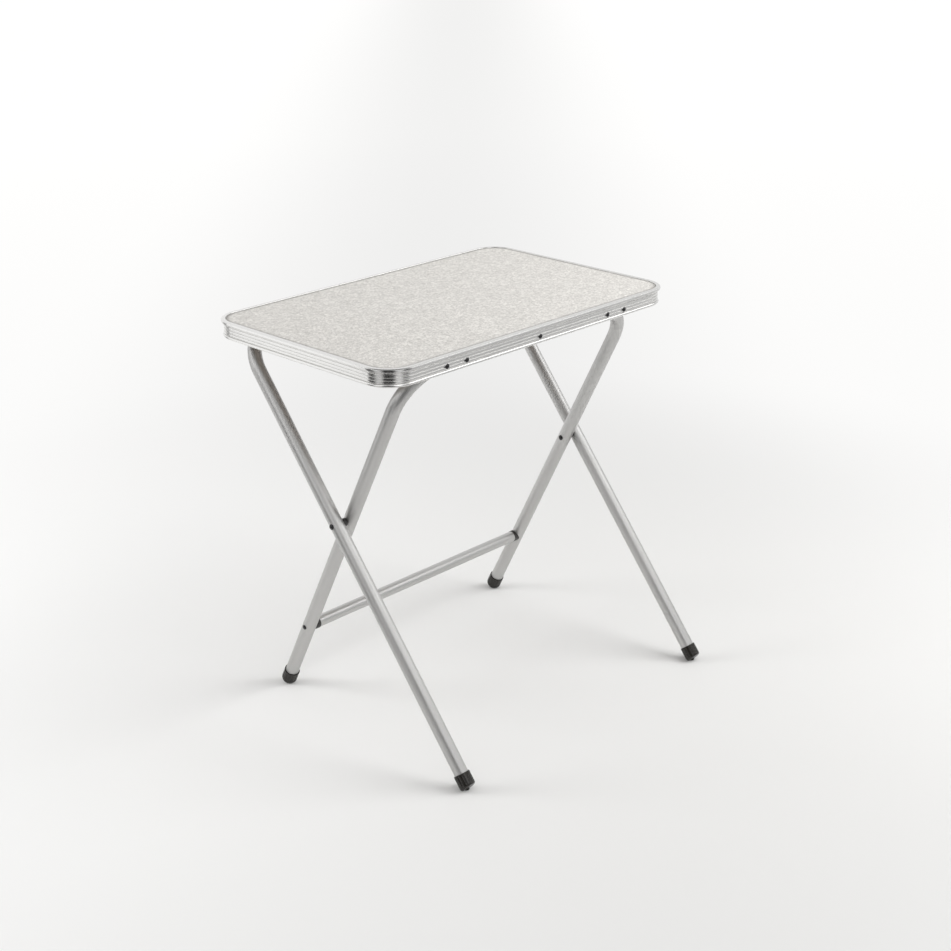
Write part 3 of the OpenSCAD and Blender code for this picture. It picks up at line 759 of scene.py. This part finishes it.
def collar(name, start, leg, along, radius, placed, columns=72):
    """Sleeve along x whose far end follows the leg: x = leg - sqrt(bore^2 - n^2)."""
    sign = math.copysign(1, leg)
    turn = np.linspace(0, 2 * np.pi, columns, endpoint=False)
    steps = np.concatenate([arc(0.5, radius - 0.5, 0.5, 180, 90, 4), [[1.2, radius]]])
    depth = radius * np.cos(turn)
    meet = abs(leg) - np.sqrt(BORE**2 - depth**2)
    rings = [
        np.stack([np.full(columns, start + out), reach * np.cos(turn), along + reach * np.sin(turn)], -1)
        for out, reach in steps
    ]
    for share in (0.35, 0.7, 1.0):
        x = start + 1.2 + (meet - start - 1.2) * share
        rings.append(np.stack([x, depth, along + radius * np.sin(turn)], -1))
    ends = np.array([[start, 0, along], [abs(leg) - BORE, 0, along]])
    scale = np.array([sign, 1, 1])
    points, faces = closed(placed(np.stack(rings) * scale), placed(ends * scale))
    return solid(name, points, faces, spacer_black, sharp=45)


def pivot_rivet(name, sign):
    """Domed heads outside the outer leg and inside the inner leg, on one shank."""
    outside, inside = OUTER_LEG + TUBE, INNER_LEG - TUBE
    near = crown(PIVOT_HEAD, PIVOT_RISE)
    near[:, 0] += outside + HEAD_GAP
    far = crown(PIVOT_HEAD, PIVOT_RISE)[::-1]
    far[:, 0] = inside - HEAD_GAP - far[:, 0]
    shank = [[outside - 1, PIVOT_HEAD], [outside - 1, 3.0], [inside - 0.15, 3.0]]
    half = np.concatenate([near[:-1], shank, far])
    points, faces = turned(half, (0, 0, 0), (1, 0, 0), 48)
    points = points[:, [0, 2, 1]] * np.array([sign, 1, 1]) + np.array([0, 0, PIVOT_ALONG])
    return solid(name, on_outer(points), faces, black_lacquer, sharp=40)


for side, sign in (("left", -1), ("right", 1)):
    spacer = collar("leg_spacer_" + side, SPACER_START, sign * OUTER_LEG, PIVOT_ALONG, SPACER, on_outer)
    stands_for(spacer, "outer_frame", "black_moulding", "pivot_spacer_" + side)
    rivet = pivot_rivet("leg_rivet_" + side, sign)
    stands_for(rivet, "outer_frame", "black_rivet", "pivot_rivet_" + side)

# Crossbar
# A straight length of the same tube metal, 19 mm across, plugged on black saddles that hug the
# inner legs. A punch mark near each end locks it, and rivets come through from the legs' outside.

BAR_ALONG = 126.6 / math.cos(INNER_LEAN)
BAR_END = INNER_LEG - TUBE - 5.5
BAR = 9.5
SADDLE = BAR + 0.4
PUNCH_PLACE = 213
PUNCH_TURN = 6
PUNCH_DEPTH = 1.1
PUNCH = 2.0
bar_metal = satin_tube("satin anodised crossbar")
columns = 96
half_run = np.concatenate([
    np.linspace(0, PUNCH_PLACE - 8, 12), np.linspace(PUNCH_PLACE - 6, PUNCH_PLACE + 6, 19),
    np.linspace(PUNCH_PLACE + 8, BAR_END, 5),
])
run_x = np.concatenate([-half_run[:0:-1], half_run])
turn = np.linspace(0, 2 * np.pi, columns, endpoint=False)
off = (np.degrees(turn) - PUNCH_TURN + 180) % 360 - 180
punched = np.hypot(np.abs(run_x)[:, None] - PUNCH_PLACE, BAR * np.radians(off)[None])
sunk = BAR - PUNCH_DEPTH * np.exp(-((punched / PUNCH) ** 2))
rings = np.stack(np.broadcast_arrays(
    run_x[:, None], sunk * np.cos(turn), BAR_ALONG + sunk * np.sin(turn)
), -1)
ends = np.array([[-BAR_END, 0, BAR_ALONG], [BAR_END, 0, BAR_ALONG]])
points, faces = closed(on_inner(rings), on_inner(ends))
around = np.linspace(0, 2 * np.pi * BAR, columns + 1)
uv = np.stack(np.broadcast_arrays(run_x[:, None] + BAR_END, around[None]), -1)
crossbar = solid("crossbar", points, faces, bar_metal, uv, 60)
stands_for(crossbar, "inner_frame", "crossbar", "crossbar_tube")

for side, sign in (("left", -1), ("right", 1)):
    saddle = collar("bar_saddle_" + side, BAR_END, sign * INNER_LEG, BAR_ALONG, SADDLE, on_inner)
    stands_for(saddle, "inner_frame", "black_moulding", "crossbar_saddle_" + side)
    outside = INNER_LEG + TUBE
    head = crown(HEAD, HEAD_RISE)
    head[:, 0] += outside + HEAD_GAP
    shank = [[outside - 1, HEAD], [outside - 1, SHANK], [BAR_END - 11.9, SHANK], [BAR_END - 12, 0.0]]
    half = np.concatenate([head[:-1], shank])
    points, faces = turned(half, (0, 0, 0), (1, 0, 0), 40)
    points = points[:, [0, 2, 1]] * np.array([sign, 1, 1]) + np.array([0, 0, BAR_ALONG])
    rivet = solid("bar_rivet_" + side, on_inner(points), faces, black_lacquer, sharp=40)
    stands_for(rivet, "inner_frame", "black_rivet", "crossbar_rivet_" + side)

# Floor, light and camera
# A pale seamless floor under a soft overall light and two broad soft lamps, left and right of
# the camera. Cards that only reflections see stand for the dark and pale sides of the studio.

# the picture's right, level with the floor
RIGHT = np.array([0.6947, -0.7193, 0.0])
FLOOR_HALF = 30.0
PAPER_LEFT = (0.92, 0.92, 0.915, 1.0)
# the paper's right-hand colour is darker as painted shade, to offset the stronger right lamp
PAPER_RIGHT_SHADED = (0.67, 0.668, 0.66, 1.0)
PAPER_GLOW = (1.0, 0.997, 0.990, 1.0)
DAYLIGHT = (1.0, 0.995, 0.985, 1.0)


def seen_directly(tree):
    """1 for rays from the camera, off glossy surfaces or through clear ones, and 0 for diffuse light."""
    path = add_node(tree, "LightPath")
    seen = maths(tree, "MAXIMUM", path.outputs["Is Camera Ray"], path.outputs["Is Glossy Ray"])
    return maths(tree, "MAXIMUM", seen, path.outputs["Is Transmission Ray"])


floor_mesh = bpy.data.meshes.new("floor")
floor_corners = FLOOR_HALF * np.array([(-1, -1, 0), (1, -1, 0), (1, 1, 0), (-1, 1, 0)])
floor_mesh.from_pydata(floor_corners.tolist(), [], [(0, 1, 2, 3)])
floor = bpy.data.objects.new("floor", floor_mesh)
bpy.context.scene.collection.objects.link(floor)
paper, tree, shader = surface("floor paper", PAPER_LEFT[:3], 0.8)
shader.inputs["Specular IOR Level"].default_value = 0.1
spot = place(tree)
reach = add_node(tree, "VectorMath", operation="LENGTH")
wire(tree, (spot, reach.inputs[0]))
far = remap(tree, reach.outputs["Value"], 450.0, 1700.0, 0.0, 1.0, smooth=True)
across = add_node(tree, "VectorMath", {1: RIGHT.tolist()}, operation="DOT_PRODUCT")
wire(tree, (spot, across.inputs[0]))
# the paper's colour darkens across to the right as painted shade
side = remap(tree, across.outputs["Value"], -900.0, 900.0, 0.0, 1.0, smooth=True)
paper_shading = mix_colour(tree, side, PAPER_LEFT, PAPER_RIGHT_SHADED)
wire(tree, (paper_shading, shader.inputs["Base Color"]))
# far from the table the paper glows as painted light, as it would be fully lit; it is darker in a band
# behind the table as a painted soft shadow, and brighter to either side
glow = add_node(tree, "Emission", {0: PAPER_GLOW})
aside = maths(tree, "ABSOLUTE", maths(tree, "ADD", across.outputs["Value"], 120.0))
aside = remap(tree, aside, 0.0, 1100.0, 0.85, 0.97, smooth=True)
away = remap(tree, reach.outputs["Value"], 1500.0, 5000.0, 0.0, 0.04)
wire(tree, (maths(tree, "ADD", aside, away), glow.inputs[1]))
blend = add_node(tree, "MixShader")
# from below the floor is clear, so that the table's underside can be seen
below = add_node(tree, "NewGeometry")
clear = add_node(tree, "BsdfTransparent")
one_sided = add_node(tree, "MixShader")
wire(
    tree, (maths(tree, "MULTIPLY", far, seen_directly(tree)), blend.inputs[0]),
    (shader.outputs[0], blend.inputs[1]), (glow.outputs[0], blend.inputs[2]),
    (below.outputs["Backfacing"], one_sided.inputs[0]), (blend.outputs[0], one_sided.inputs[1]),
    (clear.outputs[0], one_sided.inputs[2]),
    (one_sided.outputs[0], tree.nodes["Material Output"].inputs[0]),
)
floor_mesh.materials.append(paper)

world = bpy.data.worlds.new("studio")
world.use_nodes = True
tree = world.node_tree
sky = tree.nodes["Background"]
sky.inputs[0].default_value = DAYLIGHT
level = maths(tree, "MULTIPLY_ADD", seen_directly(tree), 0.22, 0.62)
wire(tree, (level, sky.inputs[1]))
bpy.context.scene.world = world


def area_light(name, place, target, size, power):
    """A square soft light at a place, aimed at a target; reflections don't show it."""
    lamp = bpy.data.lights.new(name, "AREA")
    lamp.size = size
    lamp.energy = power
    made = bpy.data.objects.new(name, lamp)
    aim = np.array(target) - np.array(place)
    tilt = math.acos(-aim[2] / np.linalg.norm(aim))
    made.location = place
    made.rotation_euler = (tilt, 0, math.atan2(aim[0], -aim[1]) + math.pi)
    made.visible_glossy = False
    bpy.context.scene.collection.objects.link(made)


MIDDLE = np.array([0.0, 0.05, 0.0])
area_light("left softbox", MIDDLE - 2.3 * RIGHT + [0, 0, 0.95], (0, 0.05, 0.3), 0.9, 22)
area_light("right softbox", MIDDLE + 1.6 * RIGHT + [0, 0, 1.4], (0.1, 0.0, 0.5), 1.4, 29)

# the top's near corner, round which the cards stand
NEAR_CORNER = np.array([-0.28, -0.1])
# bearing in degrees round that corner, how bright the studio is there near the floor and above
# it: the room behind the camera is dark, with a pale panel on either side of it
in_front = np.array([
    (138, 0.60, 0.70), (144, 0.09, 0.30), (164, 0.05, 0.30), (170, 0.32, 0.90), (176, 0.53, 1.20),
    (193, 0.60, 1.20), (199, 0.42, 1.00), (204, 0.035, 0.60), (223, 0.02, 0.50), (236, 0.03, 0.65),
    (242, 0.035, 1.00), (249, 0.42, 1.60), (262, 0.66, 2.00), (272, 0.45, 1.80), (279, 0.07, 0.90),
    (299, 0.09, 0.90), (306, 0.50, 1.40),
])


def glossy_card(name, span, near, height, tones):
    """A glowing strip seen only in reflections: place = corner + near * (cos, sin) of the bearing.

    The span is the first and the end bearing and the step. The strip reaches from near[0] and
    height[0] to near[1] and height[1]. Tones is one strength, or rows of bearings and strengths.
    """
    bearings = np.arange(*span)
    shades = np.interp(bearings, *tones) if np.ndim(tones) else np.full(len(bearings), tones)
    count = len(bearings)
    turn = np.radians(bearings)
    ray = np.stack([np.cos(turn), np.sin(turn)], 1)
    foot = np.column_stack([NEAR_CORNER + near[0] * ray, np.full(count, height[0])])
    head = np.column_stack([NEAR_CORNER + near[1] * ray, np.full(count, height[1])])
    mesh = bpy.data.meshes.new(name)
    number = np.arange(count - 1)
    quads = np.stack([number, number + 1, number + 1 + count, number + count], 1)
    mesh.from_pydata(np.concatenate([foot, head]).tolist(), [], quads.tolist())
    shade = mesh.color_attributes.new("shade", "FLOAT_COLOR", "POINT")
    shade.data.foreach_set("color", np.repeat(np.concatenate([shades, shades]), 4))
    made = bpy.data.objects.new(name, mesh)
    bpy.context.scene.collection.objects.link(made)
    material = bpy.data.materials.new(name)
    material.use_nodes = True
    tree = material.node_tree
    glow = add_node(tree, "Emission")
    attribute = add_node(tree, "Attribute", attribute_name="shade")
    wire(
        tree, (attribute.outputs["Color"], glow.inputs[0]),
        (glow.outputs[0], tree.nodes["Material Output"].inputs[0]),
    )
    mesh.materials.append(material)
    made.visible_camera = False
    made.visible_diffuse = False
    made.visible_shadow = False
    made.visible_transmission = False


ROOM = (138, 307, 2)
low_tones = in_front[:, :2].T
high_tones = in_front[:, ::2].T
glossy_card("studio behind camera", ROOM, (1.9, 1.9), (0.002, 1.05), low_tones)
glossy_card("floor behind camera", ROOM, (0.72, 1.9), (0.002, 0.002), low_tones)
glossy_card("upper wall behind camera", ROOM, (1.9, 1.9), (1.05, 2.6), high_tones)
glossy_card("cove behind camera", ROOM, (1.9, 1.0), (2.6, 2.9), high_tones)
glossy_card("dark wall behind camera", (206, 241, 2), (1.85, 1.85), (0.9, 1.25), 0.04)
glossy_card("dark ceiling", (0, 361, 15), (0.0, 1.0), (2.9, 2.9), 0.2)
glossy_card("dark ceiling at back", (-54, 139, 6), (1.0, 1.7), (2.9, 2.9), 0.3)
panel = ((-104, -85, -62, -50, -28, -18), (3.2, 3.8, 3.7, 2.25, 2.2, 3.4))
glossy_card("right panel", (-104, -14, 2), (2.2, 2.2), (1.25, 2.8), panel)
glossy_card("dim right side", (-54, -19, 2), (2.7, 2.7), (0.02, 3.2), 0.66)
right_floor = ((-110, -75, -38, -27), (0.75, 0.56, 0.50, 0.46))
glossy_card("right floor", (-110, -25, 4), (0.9, 2.69), (0.003, 0.003), right_floor)
glossy_card("left panel", (119, 139, 2), (1.5, 1.5), (0.0, 1.9), 1.18)
glossy_card("left gap", (99, 118, 3), (1.4, 1.4), (0.0, 0.75), 0.42)
glossy_card("left panel top", (138, 187, 4), (1.89, 1.89), (0.85, 1.6), 1.6)
back_wall = ((-20, 0, 35, 60), (0.75, 0.85, 0.88, 1.0))
glossy_card("back wall", (-20, 121, 4), (2.6, 2.6), (0.0, 3.4), back_wall)

# the camera that the photograph was fitted with
camera_data = bpy.data.cameras.new("camera")
camera_data.lens = 60.83
camera_data.sensor_width = 36.0
camera = bpy.data.objects.new("camera", camera_data)
camera.location = (-1.7211, -1.6684, 1.3255)
camera.rotation_euler = (1.184783, 0.003835, -0.802809)
bpy.context.scene.collection.objects.link(camera)
bpy.context.scene.camera = camera
bpy.context.scene.view_settings.view_transform = "Standard"
